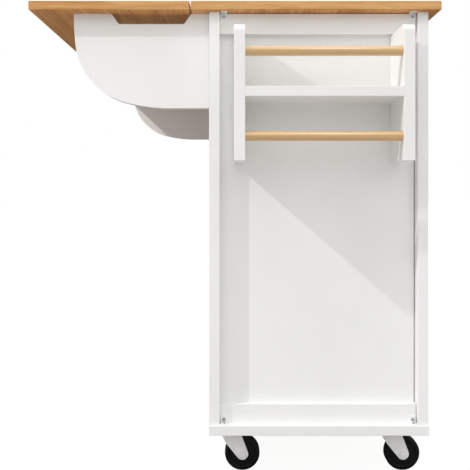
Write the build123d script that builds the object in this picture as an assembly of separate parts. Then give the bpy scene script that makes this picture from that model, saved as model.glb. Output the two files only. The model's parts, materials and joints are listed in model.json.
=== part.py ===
from build123d import *
import math
import os

# A rolling kitchen island: a cabinet on four casters, with a drop leaf along its back,
# a rack on its near end, and drawers over doors along its front.
# Sizes are in millimetres. X runs from the near end to the far end, Y from the door side
# to the leaf side and Z up from the floor. Everything is first placed about the middle of
# the cabinet, and moved at the end so that the origin lies under the middle of the whole.

# Worktop and drop leaf
worktop_height = 904.6
slab_thickness = 17.0
slab_edge_radius = 2.0
end_overhang = 13.0
front_overhang = 21.3
back_overhang = 33.9
leaf_gap = 2.4
leaf_depth = 301.2

# Cabinet frame and panels
body_length = 761.0
body_depth = 414.2
board_edge_radius = 1.0
post_thickness = 20.0
back_post_width = 64.0
base_thickness = 18.8
base_proud = 5.0
rail_setback = 10.0
rail_thickness = 12.0
rail_top_gap = 1.5
rail_front_gap = 1.2
top_rail_height = 38.0
bottom_rail_height = 36.0
panel_thickness = 12.0
panel_front_gap = 1.7
back_panel_thickness = 9.0
back_panel_setback = 7.3
front_rail_height = 20.0
deck_thickness = 18.0
divider_thickness = 24.0

# Inner shelf and its pins
inner_shelf_thickness = 16.0
inner_shelf_height = 290.0
inner_shelf_front_setback = 40.0
inner_shelf_back_gap = 4.0
inner_shelf_side_gap = 1.0
shelf_pin_radius = 2.5
shelf_pin_length = 16.0
shelf_pin_depth = 8.0
shelf_pin_spacing = 260.0

# End rack
rack_width = 320.0
rack_depth = 104.0
rack_plate_thickness = 20.0
rack_plate_height = 242.5
rack_top_drop = 42.7
rack_corner_radius = 13.0
rack_shelf_thickness = 18.0
rack_shelf_drop = 110.9
dowel_radius = 9.0
dowel_setback = 12.0
dowel_socket = 8.0
upper_dowel_drop = 46.6
lower_dowel_drop = 198.1

# Leaf brackets
bracket_thickness = 18.0
bracket_end_inset = 13.6
bracket_length = 258.7
bracket_height = 180.3
bracket_back_gap = 0.8
bracket_top_gap = 0.3
bracket_lean = 6.2
bracket_turn = 75.6
bracket_corner_radius = 129.0
bracket_belly_radius = 345.0
notch_start = 34.5
notch_length = 152.0
notch_depth = 19.8
notch_bevel = 13.5
notch_corner_radius = 5.0

# Butt hinges
hinge_length = 50.0
hinge_plate_thickness = 1.2
hinge_joint_gap = 0.4
knuckle_radius = 2.6
hinge_pin_radius = 1.3
hinge_pin_head = 0.8
surface_plate_width = 22.0
knuckle_clearance = 0.2
door_plate_width = 17.5
door_plate_offset = 1.6
door_knuckle_proud = 2.3
bracket_hinge_drop = 45.0
bracket_hinge_rise = 40.0
door_hinge_inset = 80.0
leaf_hinge_offset = 100.0

# Drawers and their slides
drawer_opening_height = 130.0
drawer_front_thickness = 18.0
drawer_front_gap = 2.5
drawer_wall_thickness = 12.0
drawer_wall_height = 100.0
drawer_wall_rise = 12.0
drawer_back_clearance = 29.9
drawer_bottom_thickness = 5.0
drawer_bottom_rise = 10.0
drawer_groove_depth = 6.0
slide_thickness = 12.5
slide_steel = 1.2
slide_height = 36.0
slide_front_setback = 3.0
slide_back_setback = 2.0
slide_overlap = 6.0
slide_running_gap = 0.5

# Doors and catches
door_thickness = 18.0
door_gap = 2.5
door_middle_gap = 3.0
door_frame_width = 60.0
door_recess = 6.0
catch_length = 40.0
catch_size = 14.0
catch_side_offset = 12.0
catch_door_gap = 0.4

# Knobs
knob_length = 19.5
knob_head_radius = 14.0
knob_neck_radius = 5.5
knob_foot_radius = 8.0
knob_foot_thickness = 2.0
knob_neck_end = 8.0
knob_head_shoulder = 11.0
door_knob_inset = 30.0
door_knob_drop = 110.0

# Corner angles and pan head screws
angle_width = 12.0
angle_leg = 14.0
angle_thickness = 2.0
angle_post_gap = 2.0
angle_hole_reach = 8.5
screw_head_radius = 3.4
screw_head_height = 2.2
screw_head_rounding = 1.2
screw_radius = 1.8
screw_length = 12.0

# Casters
caster_height = 88.6
caster_end_inset = 60.0
caster_back_inset = 41.8
caster_front_inset = 57.8
caster_plate_size = 56.0
caster_plate_corner = 6.0
caster_plate_thickness = 2.5
caster_screw_spacing = 42.0
caster_trail = 21.5
race_radius = 17.0
race_gap = 0.3
kingpin_radius = 4.0
kingpin_head_radius = 6.0
kingpin_head_height = 3.0
crown_length = 38.0
crown_thickness = 3.0
fork_thickness = 2.5
fork_end_radius = 11.6
fork_shoulder_reach = 10.5
fork_shoulder_height = 55.0
fork_edge_chamfer = 0.8
wheel_radius = 34.2
wheel_width = 22.0
wheel_crown_gap = 1.5
wheel_side_gap = 1.0
tread_corner_radius = 5.0
wheel_hub_radius = 12.0
wheel_hub_proud = 0.5
wheel_dish_radius = 24.0
wheel_dish_depth = 2.5
axle_radius = 3.0
axle_head_radius = 6.3
axle_head_height = 3.0
axle_rivet_radius = 4.6
axle_rivet_height = 1.6

# Radial clearance of every pin in its hole
running_clearance = 0.05

# Heights and faces that several pieces share
under_top = worktop_height - slab_thickness
base_top = caster_height + base_thickness
half_length = body_length / 2
half_depth = body_depth / 2
post_inner = half_depth - post_thickness
rail_face = half_length - rail_setback
panel_face = rail_face - rail_thickness
panel_back = panel_face - panel_thickness
back_panel_front = half_depth - back_panel_setback - back_panel_thickness
drawer_top = under_top - front_rail_height
deck_top = drawer_top - drawer_opening_height
deck_bottom = deck_top - deck_thickness
rack_top = under_top - rack_top_drop
rack_front = panel_face + rack_depth
inner_shelf_bottom = base_top + inner_shelf_height

# Axes that pieces turn about
surface_offset = knuckle_radius + knuckle_clearance
leaf_pin_y = half_depth + back_overhang + leaf_gap / 2
leaf_pin_z = under_top - surface_offset
bracket_inner = half_length - bracket_end_inset - bracket_thickness
bracket_pin_x = bracket_inner - surface_offset
bracket_pin_y = half_depth + surface_offset
door_pin_x = panel_back - door_plate_offset
door_pin_y = -half_depth - door_knuckle_proud
caster_x = half_length - caster_end_inset
caster_y = {
    "back": half_depth - caster_back_inset,
    "front": caster_front_inset - half_depth,
}

# The middle of the whole object on the floor
front_reach = half_depth + max(front_overhang, knob_length)
leaf_edge = half_depth + back_overhang + leaf_gap + leaf_depth
origin_x = (half_length + end_overhang - rack_front) / 2
origin_y = (leaf_edge - front_reach) / 2


def block(low, high):
    """A box between its lowest and highest corners."""
    size = [top - bottom for bottom, top in zip(low, high)]
    return Pos(*low) * Box(*size, align=(Align.MIN, Align.MIN, Align.MIN))


def board(low, high, radius=board_edge_radius):
    """A wooden board with eased edges."""
    plain = block(low, high)
    return fillet(plain.edges(), radius)


def rod(radius, start, end):
    """A round bar between two points."""
    run = Vector(*end) - Vector(*start)
    seat = Plane(origin=start, z_dir=run)
    bar = Cylinder(radius, run.length, align=(Align.CENTER, Align.CENTER, Align.MIN))
    return seat.location * bar


def far(shape):
    """The same piece at the other end of the island."""
    return mirror(shape, about=Plane.YZ)


def pair(shape):
    """A piece at the near end and its like at the far end."""
    return [shape, far(shape)]


def group(solids):
    """Like pieces that share one node."""
    return Compound([solid for piece in solids for solid in piece.solids()])


# Screws: each place is where the head seats and the way the shank points


def corner_angle_corners():
    """Where each near angle's two legs meet, and the way its upright leg runs."""
    reach = post_inner - angle_post_gap - angle_width / 2
    return [(side * reach, level, way) for side in (-1, 1) for level, way in ((under_top, -1), (base_top, 1))]


def angle_screw_places():
    """Two screws in each near angle: one into the rail and one into the slab or base."""
    places = []
    for y, level, way in corner_angle_corners():
        places.append(((-rail_face - angle_thickness, y, level + way * angle_hole_reach), (1, 0, 0)))
        places.append(((-rail_face - angle_hole_reach, y, level + way * angle_thickness), (0, 0, -way)))
    return places


def caster_screw_places():
    """Four screws up through each near caster plate."""
    half = caster_screw_spacing / 2
    under_plate = caster_height - caster_plate_thickness
    spots = [(x, y) for x in (-half, half) for y in (-half, half)]
    places = []
    for place in caster_y.values():
        places += [((x - caster_x, y + place, under_plate), (0, 0, 1)) for x, y in spots]
    return places


def screw_at(place):
    """A pan head screw in its place."""
    seat, way = place
    head = rod(screw_head_radius, (0, 0, -screw_head_height), (0, 0, 0))
    head = fillet(head.edges().sort_by(Axis.Z)[:1], screw_head_rounding)
    shank = rod(screw_radius, (0, 0, 0), (0, 0, screw_length))
    return Plane(origin=seat, z_dir=way).location * (head + shank)


def pilot_at(place):
    """The hole that a screw's shank runs in."""
    seat, way = place
    start = Vector(*seat) - Vector(*way) * screw_head_height
    end = Vector(*seat) + Vector(*way) * (screw_length + running_clearance)
    return rod(screw_radius + running_clearance, start, end)


near_pilots = [pilot_at(place) for place in angle_screw_places() + caster_screw_places()]
all_pilots = near_pilots + [far(pilot) for pilot in near_pilots]


def pan_head_screws():
    """Every screw of the corner angles and the caster plates."""
    near = [screw_at(place) for place in angle_screw_places() + caster_screw_places()]
    return group(near + [far(screw) for screw in near])


def corner_angles():
    """Steel angles that tie the end rails to the worktop and the base."""
    near = []
    for y, level, way in corner_angle_corners():
        low_y, high_y = y - angle_width / 2, y + angle_width / 2
        heights = sorted((level, level + way * angle_leg))
        upright = block((-rail_face - angle_thickness, low_y, heights[0]), (-rail_face, high_y, heights[1]))
        heights = sorted((level, level + way * angle_thickness))
        flat = block((-rail_face - angle_leg, low_y, heights[0]), (-rail_face, high_y, heights[1]))
        near.append(upright + flat - near_pilots)
    return group(near + [far(angle) for angle in near])


# Worktop and cabinet


def worktop():
    """The fixed slab, with pilot holes for the upper corner angles."""
    end = half_length + end_overhang
    low = (-end, -half_depth - front_overhang, under_top)
    high = (end, half_depth + back_overhang, worktop_height)
    return board(low, high, slab_edge_radius) - all_pilots


def drop_leaf():
    """The hinged slab along the back."""
    end = half_length + end_overhang
    low = (-end, leaf_edge - leaf_depth, under_top)
    return board(low, (end, leaf_edge, worktop_height), slab_edge_radius)


def base_board():
    """The bottom of the cabinet, which carries the casters."""
    end = half_length + base_proud
    return board((-end, -half_depth, caster_height), (end, half_depth, base_top)) - all_pilots


def near_back_post():
    """The near post on the leaf side, wide enough for the bracket hinges."""
    low = (-half_length, post_inner, base_top)
    return board(low, (back_post_width - half_length, half_depth, under_top))


def near_front_post():
    """The near post on the door side, flush with the end panel's inner face."""
    return board((-half_length, -half_depth, base_top), (-panel_back, -post_inner, under_top))


def end_rails():
    """The top and bottom rails of both ends, which leave a joint line at the front post."""
    start = rail_front_gap - post_inner
    top = under_top - rail_top_gap
    rails = []
    for low, high in ((top - top_rail_height, top), (base_top, base_top + bottom_rail_height)):
        rail = block((-rail_face, start, low), (-panel_face, post_inner, high)) - near_pilots
        rails += pair(rail)
    return group(rails)


def shelf_pin_places():
    """The near ends of the near shelf pins."""
    half = shelf_pin_spacing / 2
    return [(-panel_back - shelf_pin_depth, y, inner_shelf_bottom - shelf_pin_radius) for y in (-half, half)]


def near_end_panel():
    """The recessed panel behind the near rails, with sockets for the shelf pins."""
    start = panel_front_gap - post_inner
    panel = block((-panel_face, start, base_top), (-panel_back, post_inner, under_top))
    hole = shelf_pin_radius + running_clearance
    return panel - [rod(hole, (x, y, z), (-panel_back, y, z)) for x, y, z in shelf_pin_places()]


def shelf_pins():
    """Four pins that the inner shelf lies on."""
    near = [rod(shelf_pin_radius, (x, y, z), (x + shelf_pin_length, y, z)) for x, y, z in shelf_pin_places()]
    return group(near + [far(pin) for pin in near])


def inner_shelf():
    """The loose shelf behind the doors."""
    side = panel_back - inner_shelf_side_gap
    low = (-side, inner_shelf_front_setback - half_depth, inner_shelf_bottom)
    return board(low, (side, post_inner - inner_shelf_back_gap, inner_shelf_bottom + inner_shelf_thickness))


def back_panel():
    """The panel between the back posts."""
    side = half_length - back_post_width
    back = back_panel_front + back_panel_thickness
    return block((-side, back_panel_front, base_top), (side, back, under_top))


def front_top_rail():
    """The rail over the drawers."""
    return block((-panel_back, -half_depth, drawer_top), (panel_back, -post_inner, under_top))


def drawer_deck():
    """The board under the drawers, whose front edge shows over the doors."""
    return block((-panel_back, -half_depth, deck_bottom), (panel_back, post_inner, deck_top))


def drawer_divider():
    """The upright board between the drawers."""
    half = divider_thickness / 2
    return block((-half, -half_depth, deck_top), (half, back_panel_front, drawer_top))


# End rack

rack_half = rack_width / 2
dowel_x = dowel_setback - rack_front
dowel_heights = [rack_top - upper_dowel_drop, rack_top - lower_dowel_drop]


def rack_dowel(height, radius):
    """A bar from socket to socket between the rack's plates."""
    reach = rack_half - rack_plate_thickness + dowel_socket
    return rod(radius, (dowel_x, -reach, height), (dowel_x, reach, height))


def rack_dowels():
    """The guard bar over the shelf and the towel bar below it."""
    return group(rack_dowel(height, dowel_radius) for height in dowel_heights)


def rack_side_plates():
    """The rack's two plates, rounded at their front top corner."""
    low = rack_top - rack_plate_height
    sockets = [rack_dowel(height, dowel_radius + running_clearance) for height in dowel_heights]
    plates = []
    for start in (-rack_half, rack_half - rack_plate_thickness):
        plate = block((-rack_front, start, low), (-panel_face, start + rack_plate_thickness, rack_top))
        front_top = plate.edges().filter_by(Axis.Y).group_by(Axis.Z)[-1].sort_by(Axis.X)[:1]
        plate = fillet(front_top, rack_corner_radius)
        sides = plate.edges().filter_by(Axis.Y, reverse=True)
        bottom = plate.edges().filter_by(Axis.Y).group_by(Axis.Z)[0]
        plate = fillet(sides + bottom, board_edge_radius)
        plates.append(plate - sockets)
    return group(plates)


def rack_shelf():
    """The shelf between the rack's plates."""
    side = rack_half - rack_plate_thickness
    top = rack_top - rack_shelf_drop
    shelf = block((-rack_front, -side, top - rack_shelf_thickness), (-panel_face, side, top))
    return fillet(shelf.edges().filter_by(Axis.Y).group_by(Axis.X)[0], board_edge_radius)


# Hinges


def hinge_leaf(offset, plate_width, is_flap):
    """One leaf of a butt hinge: pin along Z, plate towards +X, wood on its -Y side."""
    half = hinge_length / 2
    inner = hinge_length / 6
    spans = [(-half, -inner - hinge_joint_gap / 2), (inner + hinge_joint_gap / 2, half)]
    if is_flap:
        spans = [(hinge_joint_gap / 2 - inner, inner - hinge_joint_gap / 2)]
    face = hinge_plate_thickness - offset
    leaf = block((knuckle_radius + hinge_joint_gap, -offset, -half), (plate_width, face, half))
    for low, high in spans:
        leaf += block((0, -offset, low), (plate_width, face, high))
        leaf += rod(knuckle_radius, (0, 0, low), (0, 0, high))
    return leaf - rod(hinge_pin_radius + running_clearance, (0, 0, -half), (0, 0, half))


def hinge_pin():
    """A hinge pin with a head at each end."""
    half = hinge_length / 2
    pin = rod(hinge_pin_radius, (0, 0, -half), (0, 0, half))
    for end in (-half, half):
        low, high = sorted((end, end + math.copysign(hinge_pin_head, end)))
        pin += rod(knuckle_radius - knuckle_clearance, (0, 0, low), (0, 0, high))
    return pin


def flipped(leaf):
    """A hinge leaf with its wood on the other side."""
    return mirror(leaf, about=Plane.XZ)


def leaf_hinge_places(towards):
    """Where each leaf hinge goes, with its plate towards the body or the leaf."""
    spot = bracket_pin_x - leaf_hinge_offset
    ways = {"body": ((0, -1, 0), (1, 0, 0)), "leaf": ((0, 1, 0), (-1, 0, 0))}
    along, pin = ways[towards]
    seats = [(x, leaf_pin_y, leaf_pin_z) for x in (-spot, 0, spot)]
    return [Plane(origin=seat, x_dir=along, z_dir=pin).location for seat in seats]


def bracket_hinge_places(along):
    """Where the near bracket's hinges go, with the plate in a given direction."""
    heights = (under_top - bracket_hinge_drop, under_top - bracket_height + bracket_hinge_rise)
    return [Plane(origin=(-bracket_pin_x, bracket_pin_y, z), x_dir=along).location for z in heights]


def door_hinge_places():
    """Where the near door's hinges go, with the plates running inwards."""
    heights = (base_top + door_gap + door_hinge_inset, deck_bottom - door_gap - door_hinge_inset)
    return [Plane(origin=(-door_pin_x, door_pin_y, z), x_dir=(0, 1, 0)).location for z in heights]


def surface_hinge_leaves():
    """The fixed leaves of the leaf hinges and the bracket hinges."""
    leaf = hinge_leaf(surface_offset, surface_plate_width, False)
    solids = [place * leaf for place in leaf_hinge_places("body")]
    for place in bracket_hinge_places((1, 0, 0)):
        solids += pair(place * leaf)
    return group(solids)


def leaf_hinge_flaps():
    """The moving leaves under the drop leaf."""
    flap = hinge_leaf(surface_offset, surface_plate_width, True)
    return group(place * flap for place in leaf_hinge_places("leaf"))


def near_bracket_hinge_flaps():
    """The moving leaves on the near bracket's inner face."""
    flap = flipped(hinge_leaf(surface_offset, surface_plate_width, True))
    return group(place * flap for place in bracket_hinge_places((0, 1, 0)))


def door_hinge_leaves():
    """The fixed leaves of the door hinges, on the front posts."""
    leaf = flipped(hinge_leaf(door_plate_offset, door_plate_width, False))
    solids = []
    for place in door_hinge_places():
        solids += pair(place * leaf)
    return group(solids)


def near_door_hinge_flaps():
    """The moving leaves on the near door's edge."""
    flap = hinge_leaf(door_plate_offset, door_plate_width, True)
    return group(place * flap for place in door_hinge_places())


def hinge_pins():
    """The pins of all the hinges."""
    pin = hinge_pin()
    solids = [place * pin for place in leaf_hinge_places("body")]
    for place in bracket_hinge_places((1, 0, 0)) + door_hinge_places():
        solids += pair(place * pin)
    return group(solids)


# Leaf brackets


def near_bracket():
    """The near quarter-round bracket, notched to pass the leaf hinge as it folds in."""
    turn = math.radians(bracket_turn)
    lean = math.radians(bracket_lean)
    lower_drop = bracket_corner_radius * (math.sin(turn) - math.sin(lean))
    lower_drop += bracket_belly_radius * (1 - math.sin(turn))
    shoulder_radius = (bracket_height - lower_drop) / math.sin(lean)
    shoulder = JernArc((bracket_length, 0), (0, 1), shoulder_radius, bracket_lean)
    corner = JernArc(shoulder @ 1, shoulder % 1, bracket_corner_radius, bracket_turn - bracket_lean)
    belly = JernArc(corner @ 1, corner % 1, bracket_belly_radius, 90 - bracket_turn)
    notch_end = notch_start + notch_length
    top = FilletPolyline(
        (bracket_back_gap, 0),
        (notch_start, 0),
        (notch_start + notch_bevel, notch_depth),
        (notch_end - notch_bevel, notch_depth),
        (notch_end, 0),
        (bracket_length, 0),
        radius=notch_corner_radius,
    )
    foot = Polyline(belly @ 1, (bracket_back_gap, bracket_height), (bracket_back_gap, 0))
    outline = make_face([top, shoulder, corner, belly, foot])
    hang = Plane(
        origin=(-bracket_inner, half_depth, under_top - bracket_top_gap), x_dir=(0, 1, 0), z_dir=(-1, 0, 0)
    )
    return extrude(hang * outline, bracket_thickness)


# Drawers

drawer_near = slide_thickness - panel_back
drawer_far = -divider_thickness / 2 - slide_thickness
drawer_back = drawer_front_thickness - half_depth
drawer_length = back_panel_front - drawer_back_clearance - drawer_back
drawer_wall_low = deck_top + drawer_wall_rise
drawer_floor = drawer_wall_low + drawer_bottom_rise
slide_middle = drawer_wall_low + drawer_wall_height / 2
slide_start = drawer_back + slide_front_setback
slide_length = drawer_length - slide_front_setback - slide_back_setback


def near_drawer_front():
    """The near drawer's inset front."""
    low = (drawer_front_gap - panel_back, -half_depth, deck_top + drawer_front_gap)
    high = (-divider_thickness / 2 - drawer_front_gap, drawer_back, drawer_top - drawer_front_gap)
    return board(low, high)


def drawer_panel(grow):
    """The room that the near drawer's bottom takes in the grooves."""
    edge = drawer_wall_thickness - drawer_groove_depth - grow
    low = (drawer_near + edge, drawer_back, drawer_floor - grow)
    back = drawer_back + drawer_length - edge
    return block(low, (drawer_far - edge, back, drawer_floor + drawer_bottom_thickness + grow))


def near_drawer_wrap():
    """The near drawer's sides and back, folded from one board."""
    back = drawer_back + drawer_length
    high = drawer_wall_low + drawer_wall_height
    outer = block((drawer_near, drawer_back, drawer_wall_low), (drawer_far, back, high))
    wall = drawer_wall_thickness
    inner = block((drawer_near + wall, drawer_back, drawer_wall_low), (drawer_far - wall, back - wall, high))
    return outer - inner - drawer_panel(running_clearance)


def near_drawer_bottom():
    """The near drawer's bottom, let into grooves in the wrap."""
    return drawer_panel(0)


def slide_section(outer_x, inner_x, half_height, start):
    """A steel channel along Y whose web is at outer_x and whose lips end at inner_x."""
    web_inner = outer_x + math.copysign(slide_steel, inner_x - outer_x)
    edges = sorted((outer_x, inner_x))
    hollow = sorted((web_inner, inner_x))
    end = start + slide_length
    room = half_height - slide_steel
    outer = block((edges[0], start, slide_middle - half_height), (edges[1], end, slide_middle + half_height))
    return outer - block((hollow[0], start, slide_middle - room), (hollow[1], end, slide_middle + room))


def runner_channels():
    """The channels on the end panels and the divider."""
    half = slide_height / 2
    lip = slide_overlap + slide_steel
    walls = ((-panel_back, -panel_back + lip), (-divider_thickness / 2, -divider_thickness / 2 - lip))
    solids = []
    for wall, reach in walls:
        solids += pair(slide_section(wall, reach, half, slide_start))
    return group(solids)


def near_drawer_slides():
    """The near drawer's own rails, which run inside the channels."""
    half = slide_height / 2 - slide_steel - slide_running_gap
    reach = slide_thickness - slide_steel - slide_running_gap
    sides = ((drawer_near, drawer_near - reach), (drawer_far, drawer_far + reach))
    return group(slide_section(wall, lip, half, slide_start) for wall, lip in sides)


def knob(x, z):
    """A turned knob that stands out of the front."""
    outline = Polyline(
        (0, 0),
        (knob_foot_radius, 0),
        (knob_foot_radius, knob_foot_thickness),
        (knob_neck_radius, knob_foot_thickness * 2),
        (knob_neck_radius, knob_neck_end),
        (knob_head_radius, knob_head_shoulder),
    )
    rise = knob_length - knob_head_shoulder
    dome_radius = (knob_head_radius**2 + rise**2) / (2 * rise)
    half_turn = math.asin(knob_head_radius / dome_radius) / 2
    middle = (dome_radius * math.sin(half_turn), knob_length - dome_radius * (1 - math.cos(half_turn)))
    crown = ThreePointArc(outline @ 1, middle, (0, knob_length))
    face = make_face([outline, crown, Line(crown @ 1, (0, 0))])
    return Pos(x, -half_depth, z) * Rot(Z=180) * revolve(face, Axis.Y)


def near_drawer_knob():
    """The knob in the middle of the near drawer's front."""
    return knob(-(panel_back + divider_thickness / 2) / 2, (deck_top + drawer_top) / 2)


# Doors

door_edge = -panel_back + 2 * door_plate_offset
door_back = door_thickness - half_depth


def near_door():
    """The near door, with a recessed field in its face."""
    low = (door_edge, -half_depth, base_top + door_gap)
    high = (-door_middle_gap / 2, door_back, deck_bottom - door_gap)
    field_low = (low[0] + door_frame_width, -half_depth, low[2] + door_frame_width)
    field_high = (high[0] - door_frame_width, door_recess - half_depth, high[2] - door_frame_width)
    return board(low, high) - block(field_low, field_high)


def near_door_knob():
    """The knob on the near door's opening edge."""
    return knob(-door_middle_gap / 2 - door_knob_inset, deck_bottom - door_gap - door_knob_drop)


def magnetic_catches():
    """A magnetic catch under the deck for each door."""
    start = door_back + catch_door_gap
    low = (-catch_side_offset - catch_length, start, deck_bottom - catch_size)
    return group(pair(block(low, (-catch_side_offset, start + catch_size, deck_bottom))))


# Casters, built about the swivel axis of a near one

plate_under = caster_height - caster_plate_thickness
axle_y = -caster_trail
crown_low = 2 * wheel_radius + wheel_crown_gap
crown_top = crown_low + crown_thickness
fork_inner = wheel_width / 2 + wheel_side_gap
fork_outer = fork_inner + fork_thickness


def caster_plate(side):
    """A near caster's top plate with its bearing race and riveted kingpin."""
    half = caster_plate_size / 2
    plate = block((-half, -half, plate_under), (half, half, caster_height))
    plate = fillet(plate.edges().filter_by(Axis.Z), caster_plate_corner)
    plate += rod(race_radius, (0, 0, crown_top + race_gap), (0, 0, plate_under))
    head_top = crown_low - race_gap
    plate += rod(kingpin_radius, (0, 0, head_top), (0, 0, plate_under))
    plate += rod(kingpin_head_radius, (0, 0, head_top - kingpin_head_height), (0, 0, head_top))
    return Pos(-caster_x, caster_y[side], 0) * plate - near_pilots


def caster_plates():
    """The plates of all four casters."""
    solids = []
    for side in caster_y:
        solids += pair(caster_plate(side))
    return group(solids)


def caster_fork():
    """A fork: a crown with two tapered legs that trail to the axle."""
    half = crown_length / 2
    tip = CenterArc((axle_y, wheel_radius), fork_end_radius, 0, 360)
    top = Edge.make_line((-half, crown_top), (half, crown_top))
    shoulder = Edge.make_line((half, crown_top), (fork_shoulder_reach, fork_shoulder_height))
    outline = make_hull([tip.edge(), top, shoulder])
    leg = extrude(Plane.YZ.offset(fork_inner) * outline, fork_thickness)
    leg = chamfer(leg.faces().sort_by(Axis.X)[-1].edges(), fork_edge_chamfer)
    crown = block((-fork_inner, -half, crown_low), (fork_inner, half, crown_top))
    axle_ends = [(x, axle_y, wheel_radius) for x in (-fork_outer, fork_outer)]
    axle_hole = rod(axle_radius + running_clearance, *axle_ends)
    pin_hole = rod(kingpin_radius + running_clearance, (0, 0, crown_low), (0, 0, crown_top))
    return leg + far(leg) + crown - axle_hole - pin_hole


def caster_axle():
    """An axle bolt with a round head outside and a riveted end inside."""
    spans = (
        (axle_radius, -fork_outer, fork_outer),
        (axle_head_radius, -fork_outer - axle_head_height, -fork_outer),
        (axle_rivet_radius, fork_outer, fork_outer + axle_rivet_height),
    )
    axle = Part()
    for radius, start, end in spans:
        axle += rod(radius, (start, axle_y, wheel_radius), (end, axle_y, wheel_radius))
    rim = axle.faces().sort_by(Axis.X)[0].edges()
    return fillet(rim, axle_head_height / 3)


def caster_wheel():
    """A solid wheel with a dished side and a rounded tread."""
    half = wheel_width / 2
    hub = half + wheel_hub_proud
    web = half - wheel_dish_depth
    bore = axle_radius + running_clearance
    side = [
        (hub, bore),
        (hub, wheel_hub_radius),
        (web, wheel_hub_radius + wheel_dish_depth),
        (web, wheel_dish_radius),
        (half, wheel_dish_radius + wheel_dish_depth),
        (half, wheel_radius),
    ]
    points = side + [(-x, r) for x, r in reversed(side)]
    radii = [tread_corner_radius if r == wheel_radius else 0 for _, r in points]
    profile = make_face(FilletPolyline(*points, radius=radii, close=True))
    return Pos(0, axle_y, wheel_radius) * revolve(profile, Axis.X)


# The whole island, by node


def island():
    """Every node's shape about the middle of the cabinet."""
    nodes = {
        "base_board": base_board(),
        "end_rails": end_rails(),
        "back_panel": back_panel(),
        "front_top_rail": front_top_rail(),
        "drawer_deck": drawer_deck(),
        "drawer_divider": drawer_divider(),
        "runner_channels": runner_channels(),
        "inner_shelf": inner_shelf(),
        "shelf_pins": shelf_pins(),
        "worktop": worktop(),
        "corner_angles": corner_angles(),
        "pan_head_screws": pan_head_screws(),
        "rack_side_plates": rack_side_plates(),
        "rack_shelf": rack_shelf(),
        "rack_dowels": rack_dowels(),
        "surface_hinge_leaves": surface_hinge_leaves(),
        "door_hinge_leaves": door_hinge_leaves(),
        "hinge_pins": hinge_pins(),
        "magnetic_catches": magnetic_catches(),
        "caster_plates": caster_plates(),
        "drop_leaf": drop_leaf(),
        "leaf_hinge_flaps": leaf_hinge_flaps(),
    }
    both_ends = {
        "back_post": near_back_post(),
        "front_post": near_front_post(),
        "end_panel": near_end_panel(),
        "bracket": near_bracket(),
        "bracket_hinge_flaps": near_bracket_hinge_flaps(),
        "drawer_front": near_drawer_front(),
        "drawer_wrap": near_drawer_wrap(),
        "drawer_bottom": near_drawer_bottom(),
        "drawer_slides": near_drawer_slides(),
        "drawer_knob": near_drawer_knob(),
        "door": near_door(),
        "door_knob": near_door_knob(),
        "door_hinge_flaps": near_door_hinge_flaps(),
    }
    for side, place in caster_y.items():
        spot = Pos(-caster_x, place, 0)
        both_ends[side + "_fork"] = spot * caster_fork()
        both_ends[side + "_axle"] = spot * caster_axle()
        both_ends[side + "_wheel"] = spot * caster_wheel()
    for name, shape in both_ends.items():
        nodes["near_" + name] = shape
        nodes["far_" + name] = far(shape)
    return nodes


if __name__ == "__main__":
    os.makedirs("parts", exist_ok=True)
    for node, shape in island().items():
        export_step(Pos(-origin_x, -origin_y, 0) * shape, f"parts/{node}.step")
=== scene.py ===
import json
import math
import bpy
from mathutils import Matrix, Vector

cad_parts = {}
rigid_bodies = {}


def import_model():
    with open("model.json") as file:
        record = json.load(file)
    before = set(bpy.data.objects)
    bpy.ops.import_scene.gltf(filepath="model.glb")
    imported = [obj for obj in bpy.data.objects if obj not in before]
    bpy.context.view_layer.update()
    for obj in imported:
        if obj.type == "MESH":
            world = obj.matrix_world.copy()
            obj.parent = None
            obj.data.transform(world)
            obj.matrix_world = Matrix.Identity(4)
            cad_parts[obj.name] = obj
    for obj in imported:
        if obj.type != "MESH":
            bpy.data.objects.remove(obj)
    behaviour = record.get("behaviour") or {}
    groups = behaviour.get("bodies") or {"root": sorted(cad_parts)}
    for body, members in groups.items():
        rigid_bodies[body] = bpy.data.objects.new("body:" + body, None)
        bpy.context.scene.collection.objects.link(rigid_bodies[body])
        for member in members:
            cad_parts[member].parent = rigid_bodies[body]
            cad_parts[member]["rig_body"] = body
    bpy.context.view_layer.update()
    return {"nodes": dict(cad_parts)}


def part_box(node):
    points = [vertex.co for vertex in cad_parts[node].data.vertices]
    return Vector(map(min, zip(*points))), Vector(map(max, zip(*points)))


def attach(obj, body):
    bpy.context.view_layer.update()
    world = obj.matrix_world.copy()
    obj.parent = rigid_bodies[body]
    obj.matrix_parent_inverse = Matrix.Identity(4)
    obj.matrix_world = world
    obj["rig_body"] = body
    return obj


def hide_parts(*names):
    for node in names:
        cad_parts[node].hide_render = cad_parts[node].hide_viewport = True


bl_info = {
    "name": "Rolling kitchen island",
    "version": (1, 0, 0),
    "blender": (4, 5, 0),
    "location": "View3D > Sidebar > Kitchen island",
    "description": "Finishes, small fittings and a studio for the packed kitchen island",
    "category": "Object",
}

import bmesh
import bpy
from bpy.props import FloatProperty, FloatVectorProperty, PointerProperty
from mathutils import Matrix, Vector

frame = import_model()
nodes = frame["nodes"]

MM = 0.001
ENDS = ("near", "far")
CASTERS = ("near_back", "near_front", "far_back", "far_front")

# A face looks along an axis if its normal has more than this on that axis
FACING = 0.7

# Sockets of a Mix node, which holds one set for each kind of data
MIX_FACTOR = 0
MIX_VECTORS = (4, 5)
MIX_VECTOR_RESULT = 1
MIX_COLOURS = (6, 7)
MIX_COLOUR_RESULT = 2


# Settings


def linear(hex_colour):
    """The linear colour of an sRGB hex value."""
    channels = [int(hex_colour[start : start + 2], 16) / 255 for start in (1, 3, 5)]
    return [c / 12.92 if c <= 0.04045 else ((c + 0.055) / 1.055) ** 2.4 for c in channels]


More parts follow.
